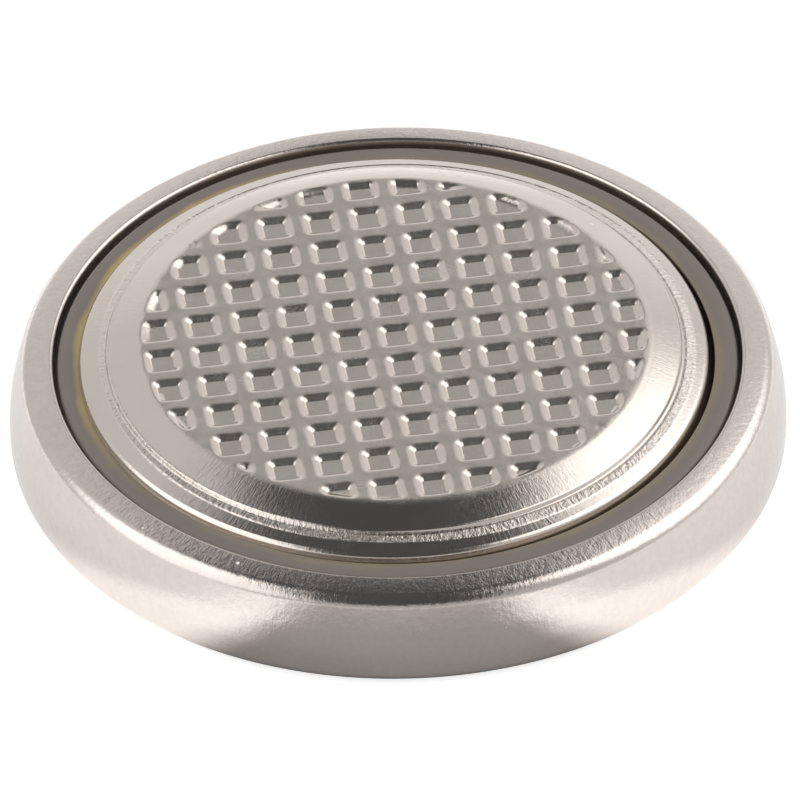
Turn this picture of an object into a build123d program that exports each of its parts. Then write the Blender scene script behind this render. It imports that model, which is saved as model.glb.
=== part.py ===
from build123d import *

import os

os.makedirs("parts", exist_ok=True)

# Lithium button cell, lying on its can with the negative lid up.
# The origin is the middle of the can's flat base. +Z points out of the lid.
# Lengths are in millimetres. "r" is a radius from the cell's axis, "z" a height above its base.

# Driving dimensions
CELL_DIAMETER = 12.5
CELL_HEIGHT = 2.0

# Fits between pieces
SLIP = 0.02  # between curved faces that press on each other
CAVITY_CLEARANCE = 0.17  # between the separator and the inside of the lid

# Can: one drawn cup, its rim crimped inwards over the gasket
CAN_SHEET = 0.2
BASE_EDGE_RADIUS = 0.25
STRAIGHT_WALL_TOP = 0.75
CRIMP_LEAN = 0.12  # how far in the wall leans at the crimp
SHOULDER_RADIUS = 0.4
LIP_BELOW_FACE = 0.39
LIP_REACH = 0.75  # from the can's outside to the cut edge of its lip
LIP_EDGE_RADIUS = 0.1

# Lid: one pressed cup, with its contact face raised in the middle
LID_SHEET = 0.2
FLANGE_COVER = 0.29  # seal between the can's lip and the lid's flange
LIP_TO_FLANK = 0.3
FLANK_LEAN = 0.16
RIM_WIDTH = 0.4
RIM_DROP = 0.1
RISER_RUN = 0.04
RISER_DROP = 0.06
BAND_WIDTH = 0.45
BAND_DROP = 0.18
FACE_EDGE_RADIUS = 0.4
RISER_RADIUS = 0.03
RIM_EDGE_RADIUS = 0.08
FLANGE_BEND_RADIUS = 0.25
INNER_BEND_RADIUS = 0.05

# Waffle: square pits pressed into the contact face
PIT_PITCH = 0.76
PIT_WIDTH = 0.42
PIT_DEPTH = 0.08
PIT_DRAFT = 28  # degrees from upright
PIT_OFFSET = 0.05  # the die sits this far off the axis, to -X and +Y
PIT_MARGIN = 0.01  # between the outermost pits and the edge of the face
SMALLEST_PIT = 0.0005  # cubic millimetres

# Gasket: a moulded ring that wraps the lid's edge
GASKET_WALL = 0.28
GASKET_FOOT = 0.3
GASKET_FOOT_REACH = 0.2  # how far the foot passes in under the skirt
BEAD_BELOW_LIP = 0.11
BEAD_GAP = 0.07  # groove between the bead and the can's lip
BEAD_RADIUS = 0.06

# Electrodes
LITHIUM_INSET = 0.2
LITHIUM_THICKNESS = 0.4
SEPARATOR_SHEET = 0.1
SEPARATOR_SKIRT = 0.45
SEPARATOR_BEND_RADIUS = 0.15
RING_SHEET = 0.1
RING_HEIGHT = 0.6
RING_FOOT_WIDTH = 0.55
PELLET_EDGE_RADIUS = 0.08

# The can's outline, from which the rest is placed
can_r = CELL_DIAMETER / 2
can_inner_r = can_r - CAN_SHEET
lip_z = CELL_HEIGHT - LIP_BELOW_FACE
lip_under_z = lip_z - CAN_SHEET
lip_r = can_r - LIP_REACH
crimp_r = can_r - CRIMP_LEAN
inner_crimp_r = crimp_r - CAN_SHEET
inner_base_radius = BASE_EDGE_RADIUS - CAN_SHEET
inner_shoulder_radius = SHOULDER_RADIUS - CAN_SHEET

# The lid's outline, from its skirt in to its face
skirt_r = can_inner_r - GASKET_WALL
skirt_inner_r = skirt_r - LID_SHEET
skirt_z = CAN_SHEET + GASKET_FOOT
flange_z = lip_under_z - FLANGE_COVER
flange_under_z = flange_z - LID_SHEET
flank_r = lip_r - LIP_TO_FLANK
rim_r = flank_r - FLANK_LEAN
riser_r = rim_r - RIM_WIDTH
band_r = riser_r - RISER_RUN
face_r = band_r - BAND_WIDTH
face_under_z = CELL_HEIGHT - LID_SHEET
band_z = CELL_HEIGHT - BAND_DROP
riser_z = band_z - RISER_DROP
rim_z = riser_z - RIM_DROP
rim_under_z = rim_z - LID_SHEET

# The electrodes, from the lid's underside down to the can's floor
lithium_r = face_r - LITHIUM_INSET
separator_r = rim_r - LID_SHEET - CAVITY_CLEARANCE
separator_inner_r = separator_r - SEPARATOR_SHEET
separator_z = face_under_z - LITHIUM_THICKNESS
pellet_z = separator_z - SEPARATOR_SHEET
ring_r = separator_inner_r - SLIP
ring_inner_r = ring_r - RING_SHEET
ring_foot_z = CAN_SHEET + RING_SHEET
ring_foot_r = ring_r - RING_FOOT_WIDTH
pellet_r = ring_inner_r - SLIP
pellet_foot_r = ring_foot_r - SLIP


# Drawn cup of nickel-plated steel. Its wall stands straight, then leans in and folds over.
with BuildPart() as cell_can:
    with BuildSketch(Plane.XZ):
        with BuildLine():
            outside = FilletPolyline(
                (0, 0),
                (can_r, 0),
                (can_r, STRAIGHT_WALL_TOP),
                (crimp_r, lip_z),
                (lip_r, lip_z),
                (lip_r, lip_under_z),
                radius=(BASE_EDGE_RADIUS, 0, SHOULDER_RADIUS, LIP_EDGE_RADIUS),
            )
            inside = FilletPolyline(
                (lip_r, lip_under_z),
                (inner_crimp_r, lip_under_z),
                (can_inner_r, STRAIGHT_WALL_TOP),
                (can_inner_r, CAN_SHEET),
                (0, CAN_SHEET),
                radius=(inner_shoulder_radius, 0, inner_base_radius),
            )
            Line(inside @ 1, outside @ 0)
        make_face()
    revolve(axis=Axis.Z)


# The press tool for the waffle: square pegs on a grid, trimmed to the round face.
pattern_r = face_r - PIT_MARGIN
pit_rows = 2 * int(pattern_r / PIT_PITCH) + 3
with BuildPart() as waffle_die:
    with BuildSketch(Plane.XY.offset(CELL_HEIGHT)):
        with Locations((-PIT_OFFSET, PIT_OFFSET)):
            with GridLocations(PIT_PITCH, PIT_PITCH, pit_rows, pit_rows):
                Rectangle(PIT_WIDTH, PIT_WIDTH)
    extrude(amount=-PIT_DEPTH, taper=PIT_DRAFT)
    with Locations((0, 0, CELL_HEIGHT)):
        Cylinder(pattern_r, 2 * PIT_DEPTH, mode=Mode.INTERSECT)

pegs = waffle_die.solids().filter_by(lambda peg: peg.volume > SMALLEST_PIT)


# Pressed cup of stainless steel: face, sloping band, small riser, rim, flank, flange and skirt.
with BuildPart() as negative_lid:
    with BuildSketch(Plane.XZ):
        with BuildLine():
            outside = FilletPolyline(
                (0, CELL_HEIGHT),
                (face_r, CELL_HEIGHT),
                (band_r, band_z),
                (riser_r, riser_z),
                (rim_r, rim_z),
                (flank_r, flange_z),
                (skirt_r, flange_z),
                (skirt_r, skirt_z),
                radius=(
                    FACE_EDGE_RADIUS,
                    RISER_RADIUS,
                    RISER_RADIUS,
                    RIM_EDGE_RADIUS,
                    INNER_BEND_RADIUS,
                    FLANGE_BEND_RADIUS,
                ),
            )
            inside = FilletPolyline(
                (skirt_inner_r, skirt_z),
                (skirt_inner_r, flange_under_z),
                (flank_r - LID_SHEET, flange_under_z),
                (rim_r - LID_SHEET, rim_under_z),
                (face_r, face_under_z),
                (0, face_under_z),
                radius=(
                    INNER_BEND_RADIUS,
                    FLANGE_BEND_RADIUS,
                    INNER_BEND_RADIUS,
                    FACE_EDGE_RADIUS,
                ),
            )
            Line(outside @ 1, inside @ 0)
            Line(inside @ 1, outside @ 0)
        make_face()
    revolve(axis=Axis.Z)
    add(pegs, mode=Mode.SUBTRACT)


# Moulded polypropylene ring. The crimp squeezes its top up into a bead round the lid.
bead_z = lip_z - BEAD_BELOW_LIP
bead_r = lip_r - BEAD_GAP
flank_slope = FLANK_LEAN / (rim_z - flange_z)
bead_inner_r = rim_r + flank_slope * (rim_z - bead_z) + SLIP
with BuildPart() as sealing_gasket:
    with BuildSketch(Plane.XZ):
        with BuildLine():
            FilletPolyline(
                (skirt_inner_r - GASKET_FOOT_REACH, CAN_SHEET),
                (can_inner_r - SLIP, CAN_SHEET),
                (can_inner_r - SLIP, STRAIGHT_WALL_TOP),
                (inner_crimp_r - SLIP, lip_under_z - SLIP),
                (bead_r, lip_under_z - SLIP),
                (bead_r, bead_z),
                (bead_inner_r, bead_z),
                (flank_r + SLIP, flange_z),
                (skirt_r + SLIP, flange_z),
                (skirt_r + SLIP, skirt_z),
                (skirt_inner_r - GASKET_FOOT_REACH, skirt_z),
                close=True,
                radius=(
                    0,
                    inner_base_radius,
                    0,
                    inner_shoulder_radius,
                    0,
                    BEAD_RADIUS,
                    BEAD_RADIUS,
                    INNER_BEND_RADIUS,
                    FLANGE_BEND_RADIUS,
                    0,
                    0,
                ),
            )
        make_face()
    revolve(axis=Axis.Z)


# Disc of lithium foil, pressed flat against the inside of the lid's face.
with BuildPart() as lithium_disc:
    with BuildSketch(Plane.XY.offset(separator_z)):
        Circle(lithium_r)
    extrude(amount=LITHIUM_THICKNESS)


# Shallow cup of nonwoven polypropylene, open side down, between the two electrodes.
with BuildPart() as separator:
    with BuildSketch(Plane.XZ):
        with BuildLine():
            outside = FilletPolyline(
                (0, separator_z),
                (separator_r, separator_z),
                (separator_r, separator_z - SEPARATOR_SKIRT),
                radius=SEPARATOR_BEND_RADIUS,
            )
            inside = FilletPolyline(
                (separator_inner_r, separator_z - SEPARATOR_SKIRT),
                (separator_inner_r, pellet_z),
                (0, pellet_z),
                radius=SEPARATOR_BEND_RADIUS - SEPARATOR_SHEET,
            )
            Line(outside @ 1, inside @ 0)
            Line(inside @ 1, outside @ 0)
        make_face()
    revolve(axis=Axis.Z)


# Pressed ring of stainless steel round the pellet's edge. Its foot lies on the can's floor.
with BuildPart() as cathode_ring:
    with BuildSketch(Plane.XZ):
        with BuildLine():
            Polyline(
                (ring_foot_r, CAN_SHEET),
                (ring_r, CAN_SHEET),
                (ring_r, CAN_SHEET + RING_HEIGHT),
                (ring_inner_r, CAN_SHEET + RING_HEIGHT),
                (ring_inner_r, ring_foot_z),
                (ring_foot_r, ring_foot_z),
                close=True,
            )
        make_face()
    revolve(axis=Axis.Z)


# Pressed pellet of manganese dioxide and graphite, stepped underneath for the ring's foot.
with BuildPart() as cathode_pellet:
    with BuildSketch(Plane.XZ):
        with BuildLine():
            FilletPolyline(
                (0, CAN_SHEET),
                (pellet_foot_r, CAN_SHEET),
                (pellet_foot_r, ring_foot_z),
                (pellet_r, ring_foot_z),
                (pellet_r, pellet_z),
                (0, pellet_z),
                close=True,
                radius=(0, 0, 0, 0, PELLET_EDGE_RADIUS, 0),
            )
        make_face()
    revolve(axis=Axis.Z)


cell_can.part.label = "cell_can"
negative_lid.part.label = "negative_lid"
sealing_gasket.part.label = "sealing_gasket"
lithium_disc.part.label = "lithium_disc"
separator.part.label = "separator"
cathode_ring.part.label = "cathode_ring"
cathode_pellet.part.label = "cathode_pellet"

export_step(cell_can.part, "parts/cell_can.step")
export_step(negative_lid.part, "parts/negative_lid.step")
export_step(sealing_gasket.part, "parts/sealing_gasket.step")
export_step(lithium_disc.part, "parts/lithium_disc.step")
export_step(separator.part, "parts/separator.step")
export_step(cathode_ring.part, "parts/cathode_ring.step")
export_step(cathode_pellet.part, "parts/cathode_pellet.step")
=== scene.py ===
from math import cos, hypot, pi, radians, sin

import bmesh
import bpy
from mathutils import Matrix, Vector, noise


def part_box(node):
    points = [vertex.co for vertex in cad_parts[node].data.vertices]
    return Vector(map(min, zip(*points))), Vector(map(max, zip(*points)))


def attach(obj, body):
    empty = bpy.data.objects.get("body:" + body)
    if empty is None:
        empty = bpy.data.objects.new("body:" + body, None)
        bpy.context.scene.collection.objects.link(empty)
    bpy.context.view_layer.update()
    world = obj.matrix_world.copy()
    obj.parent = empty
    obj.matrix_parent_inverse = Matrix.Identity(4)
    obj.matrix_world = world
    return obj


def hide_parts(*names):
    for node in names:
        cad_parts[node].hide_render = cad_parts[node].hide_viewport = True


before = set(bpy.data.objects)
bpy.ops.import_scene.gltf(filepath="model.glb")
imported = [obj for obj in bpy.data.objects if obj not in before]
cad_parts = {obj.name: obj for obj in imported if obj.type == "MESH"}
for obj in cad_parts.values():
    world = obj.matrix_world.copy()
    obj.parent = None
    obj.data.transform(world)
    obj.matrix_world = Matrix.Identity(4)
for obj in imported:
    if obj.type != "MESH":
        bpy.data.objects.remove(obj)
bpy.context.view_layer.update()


# Cell can. A cup drawn from nickel-plated steel sheet, flat underneath, with an upright wall.
# Its rim leans in, rolls over the shoulder and ends in a lip that clamps the gasket. Sizes are
# in millimetres, and a section's corners are (radius, height, how far the rounding reaches).
MM = 0.001
AROUND = 256
SAME_PLACE = 1e-4

can_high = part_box("cell_can")[1]
can_radius = can_high.x / MM
lip_height = can_high.z / MM
CAN_SHEET = 0.2
STRAIGHT_WALL_TOP = 0.75
CRIMP_LEAN = 0.12
SHOULDER_LEAN = 0.06
SHOULDER_HEIGHT = 1.48
LIP_OUTER_LEAN = 0.18
LIP_OUTER_DROP = 0.025
LIP_REACH = 0.71
LIP_CROWN = 0.045
LIP_UNDERCUT = 0.01
BASE_ROUNDING = 0.22


def turn(corners, closed):
    """A ring-shaped skin: the section through its corners, spun about Z, then rounded."""
    skin = bmesh.new()
    points = [skin.verts.new((radius, 0, height)) for radius, height, _ in corners]
    for start, end in zip(points, points[1:]):
        skin.edges.new((start, end))
    if closed:
        skin.edges.new((points[-1], points[0]))
    bmesh.ops.spin(
        skin, geom=skin.verts[:] + skin.edges[:], cent=(0, 0, 0), axis=(0, 0, 1),
        dvec=(0, 0, 0), angle=2 * pi, steps=AROUND, use_merge=True,
    )
    bmesh.ops.remove_doubles(skin, verts=skin.verts[:], dist=1e-5)
    for radius, height, rounding in corners:
        if rounding:
            round_ring(skin, radius, height, rounding)
    return skin


def round_ring(skin, radius, height, rounding, segments=8):
    """Rounds the ring of edges at one radius and height."""
    def on_ring(vert):
        off_radius = abs(hypot(vert.co.x, vert.co.y) - radius)
        return off_radius < SAME_PLACE and abs(vert.co.z - height) < SAME_PLACE

    ring = [edge for edge in skin.edges if all(on_ring(vert) for vert in edge.verts)]
    bmesh.ops.bevel(
        skin, geom=ring, offset=rounding, offset_type="OFFSET", segments=segments,
        profile=0.5, affect="EDGES", material=-1, clamp_overlap=True,
    )


def make_piece(skin, name, material):
    """Turns the skin's millimetres into metres, and links it as a smooth object."""
    bmesh.ops.scale(skin, vec=(MM, MM, MM), verts=skin.verts[:])
    bmesh.ops.recalc_face_normals(skin, faces=skin.faces[:])
    for face in skin.faces:
        face.smooth = True
    mesh = bpy.data.meshes.new(name)
    skin.to_mesh(mesh)
    skin.free()
    piece = bpy.data.objects.new(name, mesh)
    bpy.context.scene.collection.objects.link(piece)
    mesh.materials.append(material)
    evening = piece.modifiers.new("even_normals", "WEIGHTED_NORMAL")
    evening.keep_sharp = True
    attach(piece, "root")
    return piece


def node(tree, kind, inputs=(), **settings):
    """Adds a node, sets its options, and sets or links its input sockets."""
    made = tree.nodes.new(kind)
    for name, value in settings.items():
        setattr(made, name, value)
    for socket, value in dict(inputs).items():
        if isinstance(value, bpy.types.NodeSocket):
            tree.links.new(value, made.inputs[socket])
        else:
            made.inputs[socket].default_value = value
    return made


def calc(tree, operation, *values, clamp=False):
    """One Math node, and its result."""
    made = node(tree, "ShaderNodeMath", enumerate(values), operation=operation, use_clamp=clamp)
    return made.outputs[0]


def vector_calc(tree, operation, inputs):
    """One Vector Math node, and its result."""
    made = node(tree, "ShaderNodeVectorMath", inputs, operation=operation)
    return made.outputs["Value" if operation in ("LENGTH", "DOT_PRODUCT") else "Vector"]


def millimetres(tree):
    """Object coordinates in millimetres."""
    place = node(tree, "ShaderNodeTexCoord").outputs["Object"]
    return vector_calc(tree, "SCALE", {0: place, "Scale": 1 / MM})


def noise_value(tree, place, scale, detail, roughness=0.5, **more):
    """The grey value of a noise texture."""
    inputs = {"Vector": place, "Scale": scale, "Detail": detail, "Roughness": roughness}
    return node(tree, "ShaderNodeTexNoise", {**inputs, **more}).outputs[0]


def new_group(name, inputs, outputs):
    """An empty shader group with named number sockets."""
    group = bpy.data.node_groups.new(name, "ShaderNodeTree")
    for label, value in inputs.items():
        made = group.interface.new_socket(label, in_out="INPUT", socket_type="NodeSocketFloat")
        made.default_value = value
    for label in outputs:
        group.interface.new_socket(label, in_out="OUTPUT", socket_type="NodeSocketFloat")
    given = group.nodes.new("NodeGroupInput").outputs
    return group, given, group.nodes.new("NodeGroupOutput").inputs


def spoke_grain_group():
    """Fine streaks that run straight out from the axis, as forming leaves them in a drawn sheet."""
    group, given, result = new_group("spoke_grain", {"Streaks": 90.0, "Length": 1.0}, ["Grain"])
    split = node(group, "ShaderNodeSeparateXYZ", {0: millimetres(group)}).outputs
    flat = node(group, "ShaderNodeCombineXYZ", {0: split[0], 1: split[1]}).outputs[0]
    spoke = vector_calc(group, "NORMALIZE", {0: flat})
    wide = vector_calc(group, "SCALE", {0: spoke, "Scale": given["Streaks"]})
    radius = vector_calc(group, "LENGTH", {0: flat})
    along = calc(group, "DIVIDE", calc(group, "SUBTRACT", radius, split[2]), given["Length"])
    lift = node(group, "ShaderNodeCombineXYZ", {2: along}).outputs[0]
    spot = vector_calc(group, "ADD", {0: wide, 1: lift})
    group.links.new(noise_value(group, spot, 1.0, 3.0, 0.6), result["Grain"])
    return group


def scuff_group():
    """Short thin scratches in every direction."""
    level_line, thinness = 0.56, 60.0
    gate_level, gate_slope = 0.62, 12.0
    group, given, result = new_group("scuffs", {"Scale": 3.0, "Amount": 0.1}, ["Scratch"])
    place = millimetres(group)
    total = None
    for turn_by in (0.4, 1.5, 2.7):
        stretch = {"Vector": place, "Rotation": (0.3, 0.2, turn_by), "Scale": (1.0, 14.0, 6.0)}
        turned = node(group, "ShaderNodeMapping", stretch).outputs[0]
        waves = noise_value(group, turned, given["Scale"], 2.0, 0.7)
        line = calc(group, "ABSOLUTE", calc(group, "SUBTRACT", waves, level_line))
        thin = calc(group, "SUBTRACT", 1.0, calc(group, "MULTIPLY", line, thinness), clamp=True)
        total = thin if total is None else calc(group, "MAXIMUM", total, thin)
    threshold = calc(group, "SUBTRACT", gate_level, given["Amount"])
    over = calc(group, "SUBTRACT", noise_value(group, place, 1.6, 3.0), threshold)
    gate = calc(group, "MULTIPLY", over, gate_slope, clamp=True)
    group.links.new(calc(group, "MULTIPLY", total, gate), result["Scratch"])
    return group


def dust_group():
    """Sparse specks of pale dust."""
    group, given, result = new_group("dust", {"Scale": 2.2, "Size": 0.05, "Share": 0.25}, ["Speck"])
    place = millimetres(group)
    spread = {"Vector": place, "Scale": given["Scale"], "Randomness": 1.0}
    cells = node(group, "ShaderNodeTexVoronoi", spread)
    pick = node(group, "ShaderNodeSeparateColor", {0: cells.outputs["Color"]})
    reach = calc(group, "MULTIPLY", given["Size"], calc(group, "ADD", 0.3, pick.outputs[1]))
    inside = calc(group, "SUBTRACT", reach, cells.outputs["Distance"])
    near = calc(group, "MULTIPLY", inside, 60.0, clamp=True)
    chosen = calc(group, "LESS_THAN", pick.outputs[0], given["Share"])
    group.links.new(calc(group, "MULTIPLY", near, chosen), result["Speck"])
    return group


spoke_grain = spoke_grain_group()
scuffs = scuff_group()
dust = dust_group()


def use_group(tree, group, **values):
    """Places a shared group with its own values."""
    made = node(tree, "ShaderNodeGroup", node_tree=group)
    for name, value in values.items():
        made.inputs[name].default_value = value
    return made.outputs[0]


def blend_colours(tree, share, first, second):
    """Mixes two colours by a mask."""
    return node(
        tree, "ShaderNodeMix", {"Factor": share, 6: first, 7: second}, data_type="RGBA",
    ).outputs[2]


def new_material(name, **settings):
    """A material with its Principled shader's plain sockets set."""
    material = bpy.data.materials.new(name)
    material.use_nodes = True
    shader = material.node_tree.nodes["Principled BSDF"]
    for socket, value in settings.items():
        shader.inputs[socket.replace("_", " ")].default_value = value
    return material, material.node_tree, shader.inputs


def bump(tree, height, distance, strength=1.0, under=None):
    """A bump of the given depth in millimetres, on top of another."""
    inputs = {"Height": height, "Distance": distance * MM, "Strength": strength}
    if under is not None:
        inputs["Normal"] = under
    return node(tree, "ShaderNodeBump", inputs).outputs[0]


def nickel_plate():
    """Nickel plate on drawn steel: satin, with draw lines, patches, scuffs and specks of dust."""
    material, tree, shader = new_material("nickel_plate", Metallic=1.0)
    place = millimetres(tree)
    patches = noise_value(tree, place, 0.9, 5.0, 0.6)
    mottle = noise_value(tree, place, 9.0, 4.0, 0.7)
    grain = use_group(tree, spoke_grain, Streaks=150.0, Length=0.3)
    scratch = use_group(tree, scuffs, Scale=5.0, Amount=0.02)
    speck = use_group(tree, dust, Scale=1.5, Size=0.06, Share=0.3)
    warm = blend_colours(tree, patches, (0.68, 0.615, 0.57, 1), (0.77, 0.71, 0.665, 1))
    worn = blend_colours(tree, calc(tree, "MULTIPLY", mottle, 0.4), warm, (0.42, 0.38, 0.35, 1))
    colour = blend_colours(tree, speck, worn, (0.85, 0.85, 0.83, 1))
    tree.links.new(colour, shader["Base Color"])
    rough = calc(tree, "ADD", 0.1, calc(tree, "MULTIPLY", mottle, 0.1))
    rough = calc(tree, "ADD", rough, calc(tree, "MULTIPLY", scratch, 0.2))
    tree.links.new(rough, shader["Roughness"])
    tree.links.new(calc(tree, "SUBTRACT", 1.0, speck), shader["Metallic"])
    lines = bump(tree, grain, 0.0018)
    tree.links.new(bump(tree, mottle, 0.006, 1.0, lines), shader["Normal"])
    return material


crimp_radius = can_radius - CRIMP_LEAN
lip_radius = can_radius - LIP_REACH
can_section = [
    (0, 0, 0),
    (can_radius, 0, BASE_ROUNDING),
    (can_radius, STRAIGHT_WALL_TOP, 0.3),
    (crimp_radius - SHOULDER_LEAN, SHOULDER_HEIGHT, 0.08),
    (crimp_radius - LIP_OUTER_LEAN, lip_height - LIP_OUTER_DROP, 0.06),
    (lip_radius, lip_height + LIP_CROWN, 0.06),
    (lip_radius - LIP_UNDERCUT, lip_height - CAN_SHEET, 0.02),
    (crimp_radius - CAN_SHEET, lip_height - CAN_SHEET, 0.14),
    (can_radius - CAN_SHEET, STRAIGHT_WALL_TOP, 0),
    (can_radius - CAN_SHEET, CAN_SHEET, BASE_ROUNDING - CAN_SHEET),
    (0, CAN_SHEET, 0),
]
can = make_piece(turn(can_section, closed=False), "can", nickel_plate())
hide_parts("cell_can")


# Cathode ring. A strip of thin stainless steel pressed to an L section, dropped into the can
# so that its foot lies on the floor and its wall holds the pellet's edge.
def rolled_steel():
    """Bright rolled sheet with faint streaks."""
    material, tree, shader = new_material("rolled_steel", Metallic=1.0)
    grain = use_group(tree, spoke_grain, Streaks=60.0, Length=1.0)
    colour = blend_colours(tree, grain, (0.5, 0.49, 0.47, 1), (0.64, 0.63, 0.6, 1))
    tree.links.new(colour, shader["Base Color"])
    tree.links.new(calc(tree, "ADD", 0.2, calc(tree, "MULTIPLY", grain, 0.2)), shader["Roughness"])
    tree.links.new(bump(tree, grain, 0.003), shader["Normal"])
    return material


def refinish(name, material):
    """Gives a carried-over node its finish."""
    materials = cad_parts[name].data.materials
    materials.clear()
    materials.append(material)


refinish("cathode_ring", rolled_steel())


# Cathode pellet. Manganese dioxide and graphite powder, pressed to a dense black cake.
def pressed_powder():
    """Dull black powder cake with a fine grain."""
    material, tree, shader = new_material("pressed_powder")
    grit = noise_value(tree, millimetres(tree), 28.0, 5.0, 0.7)
    colour = blend_colours(tree, grit, (0.02, 0.019, 0.018, 1), (0.08, 0.078, 0.075, 1))
    tree.links.new(colour, shader["Base Color"])
    tree.links.new(calc(tree, "ADD", 0.6, calc(tree, "MULTIPLY", grit, 0.3)), shader["Roughness"])
    tree.links.new(bump(tree, grit, 0.02), shader["Normal"])
    return material


refinish("cathode_pellet", pressed_powder())


# Separator. Nonwoven polypropylene, a shallow cup laid over the pellet and soaked in electrolyte.
def nonwoven_felt():
    """Off-white felt of tangled fibres."""
    material, tree, shader = new_material("nonwoven_felt")
    place = millimetres(tree)
    stretched = node(tree, "ShaderNodeMapping", {"Vector": place, "Scale": (1.0, 5.0, 5.0)}).outputs[0]
    fibres = noise_value(tree, stretched, 12.0, 5.0, Distortion=1.5)
    colour = blend_colours(tree, fibres, (0.7, 0.69, 0.64, 1), (0.9, 0.89, 0.86, 1))
    tree.links.new(colour, shader["Base Color"])
    tree.links.new(calc(tree, "ADD", 0.7, calc(tree, "MULTIPLY", fibres, 0.2)), shader["Roughness"])
    tree.links.new(bump(tree, fibres, 0.02), shader["Normal"])
    return material


refinish("separator", nonwoven_felt())


# Lithium disc. Soft grey foil, punched out and pressed against the inside of the lid.
def lithium_foil():
    """Soft grey metal, clouded where it has tarnished."""
    material, tree, shader = new_material("lithium_foil", Metallic=1.0)
    clouds = noise_value(tree, millimetres(tree), 2.5, 6.0, 0.7)
    colour = blend_colours(tree, clouds, (0.42, 0.42, 0.43, 1), (0.68, 0.68, 0.66, 1))
    tree.links.new(colour, shader["Base Color"])
    tree.links.new(calc(tree, "ADD", 0.35, calc(tree, "MULTIPLY", clouds, 0.3)), shader["Roughness"])
    tree.links.new(bump(tree, clouds, 0.01), shader["Normal"])
    return material


refinish("lithium_disc", lithium_foil())


# Sealing gasket. A moulded polypropylene ring round the lid's edge. The crimp squeezes its top
# up between the lip and the lid as a smooth dark bead, with an amber strip along the lid.
gasket_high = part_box("sealing_gasket")[1]
lid_low, lid_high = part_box("negative_lid")
cell_height = lid_high.z / MM
gasket_radius = gasket_high.x / MM
BEAD_SWELL = 0.045
bead_height = gasket_high.z / MM + BEAD_SWELL
skirt_radius = lid_high.x / MM
skirt_bottom = lid_low.z / MM
SLIP = 0.02
LID_SHEET = 0.2
FLANGE_COVER = 0.29
FLANK_LEAN = 0.16
BEAD_GAP = 0.07
FOOT_REACH = 0.2
LID_FLANK_RADIUS = 5.2
LID_RIM_HEIGHT = 1.66
AMBER_WIDTH = 0.16
AMBER_SIDE = (-0.85, 0.53, 0)
AMBER_START = 3.0
lip_underside = lip_height - CAN_SHEET
flange_height = lip_underside - FLANGE_COVER
flank_radius = LID_FLANK_RADIUS
rim_radius = flank_radius - FLANK_LEAN
rim_height = LID_RIM_HEIGHT
bead_radius = lip_radius - BEAD_GAP
flank_share = (rim_height - bead_height) / (rim_height - flange_height)
bead_inner_radius = rim_radius + FLANK_LEAN * flank_share + SLIP
foot_radius = skirt_radius - LID_SHEET - FOOT_REACH


def part_of(tree, vector, direction):
    """How far a vector goes in a direction."""
    return vector_calc(tree, "DOT_PRODUCT", {0: vector, 1: direction})


def from_axis(tree, place):
    """Distance from the cell's axis."""
    flat = vector_calc(tree, "MULTIPLY", {0: place, 1: (1, 1, 0)})
    return vector_calc(tree, "LENGTH", {0: flat})


def moulded_seal():
    """Smooth grey-brown polypropylene, with an amber strip beside the lid that is stronger on one side.
    """
    material, tree, shader = new_material(
        "moulded_seal", Specular_IOR_Level=0.35, Coat_Weight=0.1, Coat_Roughness=0.08,
    )
    place = millimetres(tree)
    clouds = noise_value(tree, place, 0.7, 4.0)
    wander = calc(tree, "MULTIPLY", calc(tree, "SUBTRACT", clouds, 0.5), 0.3)
    edge = calc(tree, "ADD", from_axis(tree, place), wander)
    inner = calc(tree, "SUBTRACT", bead_inner_radius + AMBER_WIDTH, edge)
    strip = calc(tree, "MULTIPLY", inner, 9.0, clamp=True)
    # The amber strip beside the lid is coloured in, and made stronger towards one side.
    side = part_of(tree, place, AMBER_SIDE)
    amber_side_share = calc(tree, "MULTIPLY", calc(tree, "SUBTRACT", side, AMBER_START), 0.6, clamp=True)
    share = calc(tree, "ADD", 0.15, calc(tree, "MULTIPLY", amber_side_share, 0.85))
    amber = calc(tree, "MULTIPLY", strip, share)
    colour = blend_colours(tree, amber, (0.22, 0.19, 0.168, 1), (0.5, 0.39, 0.17, 1))
    tree.links.new(colour, shader["Base Color"])
    fine = noise_value(tree, place, 6.0, 3.0)
    tree.links.new(calc(tree, "ADD", 0.1, calc(tree, "MULTIPLY", fine, 0.15)), shader["Roughness"])
    tree.links.new(bump(tree, fine, 0.006, 0.5), shader["Normal"])
    return material


gasket_section = [
    (foot_radius, CAN_SHEET, 0.02),
    (gasket_radius, CAN_SHEET, BASE_ROUNDING - CAN_SHEET),
    (gasket_radius, STRAIGHT_WALL_TOP, 0),
    (crimp_radius - CAN_SHEET - SLIP, lip_underside - SLIP, 0.14),
    (bead_radius, lip_underside - SLIP, 0),
    (bead_radius, bead_height, 0.055),
    (bead_inner_radius, bead_height, 0.03),
    (flank_radius + SLIP, flange_height, 0.02),
    (skirt_radius + SLIP, flange_height, 0.24),
    (skirt_radius + SLIP, skirt_bottom, 0),
    (foot_radius, skirt_bottom, 0.02),
]
gasket = make_piece(turn(gasket_section, closed=True), "gasket", moulded_seal())
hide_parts("sealing_gasket")


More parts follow.
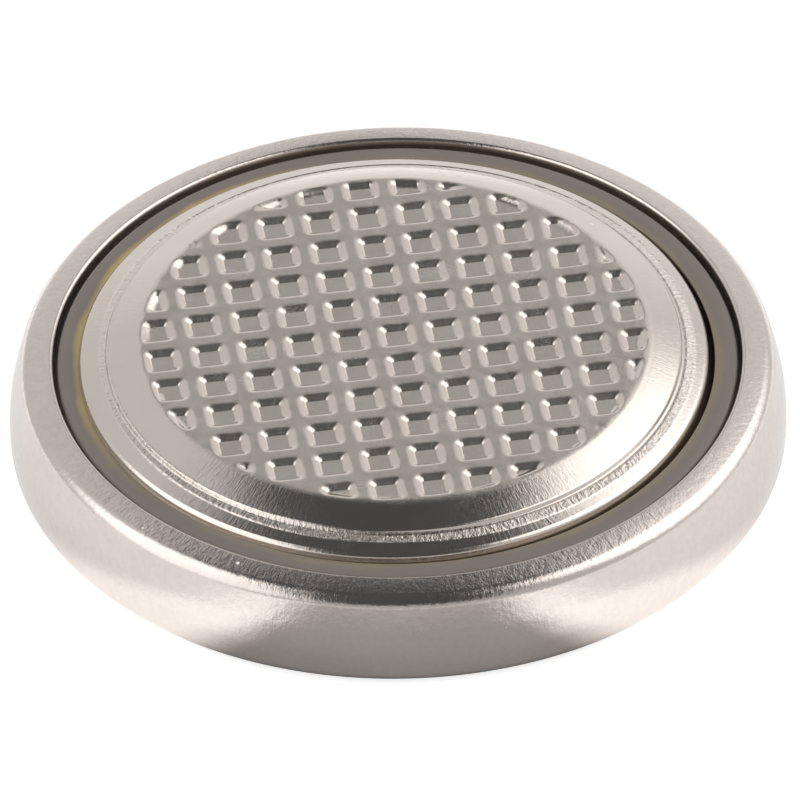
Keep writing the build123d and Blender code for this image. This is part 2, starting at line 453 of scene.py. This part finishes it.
# Negative lid. A cup pressed from stainless sheet: waffle face, sloping band, small riser, rim,
# steep flank, flange and skirt. Square pegs in the die press the pits, and the ribs between
# them are left softly crowned. The crimp has pushed the lid a hair to one side.
RIM_WIDTH = 0.4
RIM_DROP = 0.09
RISER_RUN = 0.03
RISER_DROP = 0.07
BAND_WIDTH = 0.45
PIT_PITCH = 0.76
PIT_CENTRE = (0.065, 0.064)
PIT_DEPTH = 0.062
PIT_WALL_REACH = 0.13
CELLS_PER_PITCH = 18
CELLS_PER_FLOOR = 8
GRID_CELLS = 202
FACE_FLAT_RADIUS = 4.02
PATTERN_RADIUS = 3.96
FACE_EDGE_SLOPE = 0.32
DEPTH_SPREAD = 0.1
RIB_WOBBLE = 0.004
RIB_CLEARANCE = 0.002
NET_INSET = 0.03
SEAM_INSET = 0.02
TICK_RADIUS_STEP = 0.08
TICK_HALF_WIDTH = 0.1
LID_SHIFT = (-0.055, 0.008, 0)

riser_radius = rim_radius - RIM_WIDTH
riser_height = rim_height + RIM_DROP
band_radius = riser_radius - RISER_RUN
band_height = riser_height + RISER_DROP
face_radius = band_radius - BAND_WIDTH
waffle_radius = face_radius - NET_INSET
face_underside = cell_height - LID_SHEET
cell = PIT_PITCH / CELLS_PER_PITCH
floor_half = cell * CELLS_PER_FLOOR / 2


def face_edge_height(radius):
    """The face is flat, and rolls off towards the band."""
    beyond = max(0, radius - FACE_FLAT_RADIUS)
    return cell_height - FACE_EDGE_SLOPE * beyond ** 2 / 2 / (face_radius - FACE_FLAT_RADIUS)


def from_pit(place):
    """Which pit a place belongs to, and how far it lies outside the pit's floor along X and Y."""
    column = round((place.x - PIT_CENTRE[0]) / PIT_PITCH)
    row = round((place.y - PIT_CENTRE[1]) / PIT_PITCH)
    over_x = abs(place.x - PIT_CENTRE[0] - column * PIT_PITCH) - floor_half
    over_y = abs(place.y - PIT_CENTRE[1] - row * PIT_PITCH) - floor_half
    return Vector((column, row, 0)), over_x, over_y


def pressed_height(place):
    """Height of the waffle face: flat pit floors, ribs with a rounded crown between them, and
    pits at the pattern's edge closed along a circle."""
    pit, over_x, over_y = from_pit(place)
    outside = place.xy.length - PATTERN_RADIUS
    away = hypot(max(over_x, 0), max(over_y, 0), max(outside, 0)) / PIT_WALL_REACH
    rise = 1 - (1 - min(away, 1)) ** 2
    depth = PIT_DEPTH * (1 + DEPTH_SPREAD * noise.noise(pit * 3.7))
    wobble = RIB_WOBBLE * rise * noise.noise(place * 4.5)
    ribs = cell_height - depth * (1 - rise) + wobble - RIB_CLEARANCE
    return min(ribs, face_edge_height(place.xy.length))


def press_waffle():
    """A fine round net, pulled down into the pits. The floors keep a crisp outline."""
    net = bmesh.new()
    bmesh.ops.create_grid(
        net, x_segments=GRID_CELLS, y_segments=GRID_CELLS, size=cell * GRID_CELLS / 2,
        matrix=Matrix.Translation((*PIT_CENTRE, 0)),
    )
    outer = [face for face in net.faces if all(v.co.length > waffle_radius for v in face.verts)]
    bmesh.ops.delete(net, geom=outer, context="FACES")
    for vert in net.verts:
        if vert.co.length > waffle_radius:
            vert.co *= waffle_radius / vert.co.length
    bmesh.ops.remove_doubles(net, verts=net.verts[:], dist=cell / 20)
    for edge in net.edges:
        edge.smooth = any(abs(max(from_pit(vert.co)[1:])) > cell / 20 for vert in edge.verts)
    for vert in net.verts:
        vert.co.z = pressed_height(vert.co)
    return net


def pressed_steel():
    """Stainless steel after the press: satin face, polished slopes, a ring of fine tick marks."""
    material, tree, shader = new_material("pressed_steel", Metallic=1.0)
    place = millimetres(tree)
    radius = from_axis(tree, place)
    within_face = calc(tree, "SUBTRACT", face_radius + SEAM_INSET, radius)
    on_face = calc(tree, "MULTIPLY", within_face, 20.0, clamp=True)
    from_ticks = calc(tree, "ABSOLUTE", calc(tree, "SUBTRACT", radius, riser_radius + TICK_RADIUS_STEP))
    within_ticks = calc(tree, "SUBTRACT", TICK_HALF_WIDTH, from_ticks)
    ticks = calc(tree, "MULTIPLY", within_ticks, 25.0, clamp=True)
    patches = noise_value(tree, place, 1.3, 5.0, 0.6)
    grit = noise_value(tree, place, 16.0, 4.0, 0.7)
    grain = use_group(tree, spoke_grain, Streaks=140.0, Length=0.3)
    knurl = use_group(tree, spoke_grain, Streaks=85.0, Length=0.12)
    scratch = use_group(tree, scuffs, Scale=6.0, Amount=0.02)
    speck = use_group(tree, dust, Scale=2.0, Size=0.05, Share=0.2)
    base = blend_colours(tree, patches, (0.66, 0.59, 0.53, 1), (0.72, 0.67, 0.62, 1))
    colour = blend_colours(tree, speck, base, (0.85, 0.85, 0.83, 1))
    tree.links.new(colour, shader["Base Color"])
    smooth = calc(tree, "ADD", 0.08, calc(tree, "MULTIPLY", patches, 0.08))
    satin = calc(tree, "ADD", 0.05, calc(tree, "MULTIPLY", grit, 0.08))
    rough = calc(tree, "ADD", smooth, calc(tree, "MULTIPLY", on_face, satin))
    tree.links.new(calc(tree, "ADD", rough, calc(tree, "MULTIPLY", scratch, 0.15)), shader["Roughness"])
    tree.links.new(calc(tree, "SUBTRACT", 1.0, speck), shader["Metallic"])
    off_face = calc(tree, "SUBTRACT", 1.0, on_face)
    lines = bump(tree, calc(tree, "MULTIPLY", grain, off_face), 0.002)
    struck = bump(tree, calc(tree, "MULTIPLY", knurl, ticks), 0.02, 1.0, lines)
    pebble = bump(tree, grit, 0.0024, 1.0, struck)
    tree.links.new(pebble, shader["Normal"])
    return material


lid_section = [
    (face_radius - SEAM_INSET, face_edge_height(face_radius - SEAM_INSET), 0),
    (band_radius, band_height, 0.02),
    (riser_radius, riser_height, 0.015),
    (rim_radius, rim_height, 0.06),
    (flank_radius, flange_height, 0.04),
    (skirt_radius, flange_height, 0.24),
    (skirt_radius, skirt_bottom, 0.02),
    (skirt_radius - LID_SHEET, skirt_bottom, 0.02),
    (skirt_radius - LID_SHEET, flange_height - LID_SHEET, 0.04),
    (flank_radius - LID_SHEET, flange_height - LID_SHEET, 0.2),
    (rim_radius - LID_SHEET, rim_height - LID_SHEET, 0.04),
    (face_radius, face_underside, 0.08),
    (0, face_underside, 0),
]
lid_skin = turn(lid_section, closed=False)
waffle = press_waffle()
pressed = bpy.data.meshes.new("waffle")
waffle.to_mesh(pressed)
waffle.free()
lid_skin.from_mesh(pressed)
bpy.data.meshes.remove(pressed)
open_edges = [edge for edge in lid_skin.edges if edge.is_boundary]
bmesh.ops.triangle_fill(
    lid_skin, edges=open_edges, use_beauty=True, use_dissolve=False, normal=(0, 0, 1),
)
bmesh.ops.translate(lid_skin, vec=LID_SHIFT, verts=lid_skin.verts[:])
lid = make_piece(lid_skin, "lid", pressed_steel())
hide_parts("negative_lid")


# Floor, light and camera. A plain pale table, soft light from both sides and behind, and a dark
# gap overhead, looked at through a long lens from the front, well above the table.
FLOOR_SIZE = 0.8
TABLE_GREY = 0.48
GLOW_TO_CAMERA = 0.76
GLOW_TO_METAL = 1.05
GAP_DARKNESS = 0.085
CAMERA_TURN = radians(8.4)
CAMERA_HEIGHT_ANGLE = radians(39.4)
CAMERA_ROLL = radians(-0.9)
LENS = 900
SENSOR_WIDTH = 36
PICTURE_WIDTH = 0.01287
AIM_RIGHT = 0.000033
AIM_HEIGHT = 0.000708

front = Vector((-sin(CAMERA_TURN), -cos(CAMERA_TURN), 0))
right = Vector((cos(CAMERA_TURN), -sin(CAMERA_TURN), 0))


def fade(tree, value, start, end, low=0.0, high=1.0, shape="SMOOTHSTEP"):
    """A step from one value to another, smooth or straight."""
    inputs = {0: value, 1: start, 2: end, 3: low, 4: high}
    return node(tree, "ShaderNodeMapRange", inputs, interpolation_type=shape).outputs[0]


def pale_table():
    """A matt pale table with the cell's own soft shadow. Its glow keeps it white to the camera,
    and brightens what the metal sees of it at both sides, behind and far in front."""
    material, tree, shader = new_material("pale_table", Roughness=0.9)
    shader["Base Color"].default_value = (TABLE_GREY, TABLE_GREY, TABLE_GREY, 1)
    place = millimetres(tree)
    tree.links.new(bump(tree, noise_value(tree, place, 0.5, 2.0), 0.002), shader["Normal"])
    across = calc(tree, "ABSOLUTE", part_of(tree, place, right))
    ahead = part_of(tree, place, front)
    past_cell = calc(tree, "MAXIMUM", calc(tree, "SUBTRACT", ahead, 6.5), 0.0)
    aside = calc(tree, "SUBTRACT", across, calc(tree, "MULTIPLY", past_cell, 0.35))
    sides = calc(tree, "MULTIPLY", fade(tree, aside, 2.7, 4.0), fade(tree, aside, 5.1, 6.1, 1.0, 0.58))
    far = fade(tree, ahead, 12.0, 30.0, 0.0, 0.4, shape="LINEAR")
    behind = fade(tree, ahead, -2.0, -6.0, 0.0, 0.8, shape="LINEAR")
    bright = calc(tree, "MAXIMUM", sides, calc(tree, "MAXIMUM", far, behind))
    ray = node(tree, "ShaderNodeLightPath").outputs
    seen = calc(tree, "MULTIPLY", ray["Is Camera Ray"], GLOW_TO_CAMERA)
    to_metal = calc(tree, "MULTIPLY", ray["Is Glossy Ray"], GLOW_TO_METAL)
    strength = calc(tree, "ADD", seen, calc(tree, "MULTIPLY", to_metal, bright))
    glow = node(tree, "ShaderNodeEmission", {"Color": (1, 1, 1, 1), "Strength": strength}).outputs[0]
    surface = tree.nodes["Principled BSDF"].outputs[0]
    both = node(tree, "ShaderNodeAddShader", {0: surface, 1: glow}).outputs[0]
    tree.links.new(both, tree.nodes["Material Output"].inputs["Surface"])
    return material


table = bmesh.new()
bmesh.ops.create_grid(table, x_segments=4, y_segments=4, size=FLOOR_SIZE / 2)
floor_mesh = bpy.data.meshes.new("table")
table.to_mesh(floor_mesh)
table.free()
floor = bpy.data.objects.new("table", floor_mesh)
bpy.context.scene.collection.objects.link(floor)
floor_mesh.materials.append(pale_table())


def blend_numbers(tree, share, first, second):
    """Mixes two numbers by a mask."""
    inputs = {0: share, 2: first, 3: second}
    return node(tree, "ShaderNodeMix", inputs, data_type="FLOAT").outputs[0]


# The studio as the metal sees it: pale sides, a lamp to each side, a bright horizon, and a dark
# gap overhead that narrows towards the back.
world = bpy.data.worlds.new("studio")
bpy.context.scene.world = world
world.use_nodes = True
sky = world.node_tree
gaze = node(sky, "ShaderNodeTexCoord").outputs["Generated"]
across = part_of(sky, gaze, right)
back = part_of(sky, gaze, -front)
above = part_of(sky, gaze, (0, 0, 1))
gap_front = fade(sky, back, -0.6, -0.1, 0.42, 0.32)
gap = calc(sky, "ADD", gap_front, fade(sky, back, 0.25, 0.78, 0.0, -0.3))
beside = calc(sky, "SUBTRACT", calc(sky, "ABSOLUTE", calc(sky, "ADD", across, 0.01)), gap)
sides = fade(sky, beside, -0.03, 0.05)
horizon = fade(sky, above, 0.42, 0.28)
open_sky = calc(sky, "MAXIMUM", sides, horizon)
left_aim = (front * 0.35 - right * 0.72 + Vector((0, 0, 0.6))).normalized()
right_aim = (right * 0.65 - front * 0.15 + Vector((0, 0, 0.75))).normalized()
left_lamp = fade(sky, part_of(sky, gaze, left_aim), 0.74, 0.86)
right_lamp = fade(sky, part_of(sky, gaze, right_aim), 0.74, 0.86)
lamps = calc(sky, "MAXIMUM", left_lamp, right_lamp)
level = calc(sky, "ADD", fade(sky, across, -0.5, 0.5, 0.72, 0.76), lamps)
level = calc(sky, "MULTIPLY", level, fade(sky, back, -0.8, 0.0, 0.8, 1.0))
level = calc(sky, "MULTIPLY", level, fade(sky, back, 0.79, 0.94, 1.0, 1.25))

to_camera = node(sky, "ShaderNodeLightPath").outputs["Is Camera Ray"]
level = blend_numbers(sky, to_camera, blend_numbers(sky, open_sky, GAP_DARKNESS, level), 1.0)
sky.links.new(level, sky.nodes["Background"].inputs["Strength"])
sky.nodes["Background"].inputs["Color"].default_value = (1, 1, 1, 1)


def softbox(name, turn_right, height_angle, distance, width, height, brightness):
    """A rectangular soft light, placed by its angles as seen from the cell."""
    aim = (front * cos(turn_right) + right * sin(turn_right)) * cos(height_angle)
    place = (aim + Vector((0, 0, sin(height_angle)))) * distance
    data = bpy.data.lights.new(name, "AREA")
    data.shape = "RECTANGLE"
    data.size = width
    data.size_y = height
    data.energy = brightness * pi * width * height
    lamp = bpy.data.objects.new(name, data)
    bpy.context.scene.collection.objects.link(lamp)
    lamp.location = place
    lamp.rotation_euler = place.to_track_quat("Z", "Y").to_euler()
    lamp.visible_glossy = False
    return lamp


softbox("right_softbox", radians(90), radians(53), 0.3, 0.2, 0.2, 0.2)
softbox("left_softbox", radians(-64), radians(37), 0.3, 0.2, 0.2, 0.15)

camera_data = bpy.data.cameras.new("camera")
camera_data.sensor_width = SENSOR_WIDTH
camera_data.lens = LENS
camera_data.clip_start = 0.01
camera_data.clip_end = 10
camera = bpy.data.objects.new("camera", camera_data)
bpy.context.scene.collection.objects.link(camera)
bpy.context.scene.camera = camera
aim_at = right * AIM_RIGHT + Vector((0, 0, AIM_HEIGHT))
toward = front * cos(CAMERA_HEIGHT_ANGLE) + Vector((0, 0, sin(CAMERA_HEIGHT_ANGLE)))
camera.location = aim_at + toward * (PICTURE_WIDTH * LENS / SENSOR_WIDTH)
roll = Matrix.Rotation(CAMERA_ROLL, 3, "Z").to_quaternion()
camera.rotation_euler = (toward.to_track_quat("Z", "Y") @ roll).to_euler()

bpy.context.scene.view_settings.view_transform = "Standard"
